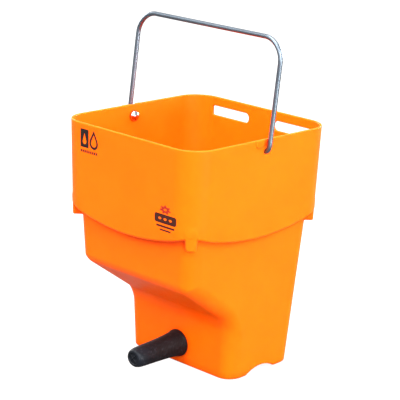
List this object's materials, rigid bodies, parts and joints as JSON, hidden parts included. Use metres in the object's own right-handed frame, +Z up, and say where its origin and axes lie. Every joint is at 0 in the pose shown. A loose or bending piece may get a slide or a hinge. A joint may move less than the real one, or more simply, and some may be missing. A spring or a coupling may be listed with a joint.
{
  "type": "single-teat calf milk feeder",
  "caption": "Open tapered moulded tub with a low sump, a rubber teat in the sump's front wall, hanging slots in the back wall and a swinging bent-rod bail handle.",
  "frame": {"origin": "on the lowest level of the foot, under the middle of the rim in plan", "axes": "+Z up, square to the rim; -Y out of the teat, with the hanging slots in the +Y wall; X along the handle's pivot axis, +X to the right of someone who faces +Y"},
  "size_m": [0.2548, 0.2506, 0.4465],
  "materials": {
    "tub_plastic": "satin moulded polyethylene, orange right through",
    "teat_rubber": "matt black rubber with a faint blue-grey bloom towards the tip",
    "zinc_rod": "zinc-plated drawn steel rod, lightly dulled",
    "cap_plate": "bright-plated pressed dome",
    "spring_steel": "dull spring steel"
  },
  "bodies": {
    "tub": {"feeder_tub": "tub_plastic", "teat": "teat_rubber"},
    "bail": {"bail_handle": "zinc_rod", "dome_cap_left": "cap_plate", "dome_cap_right": "cap_plate", "push_nut_left": "spring_steel", "push_nut_right": "spring_steel"}
  },
  "joints": [
    {"name": "bail_swing", "type": "hinge", "parent": "tub", "child": "bail", "pos_m": [0, -0.0002, 0.3066], "axis": [1, 0, 0], "range_deg": [-105, 118]}
  ]
}
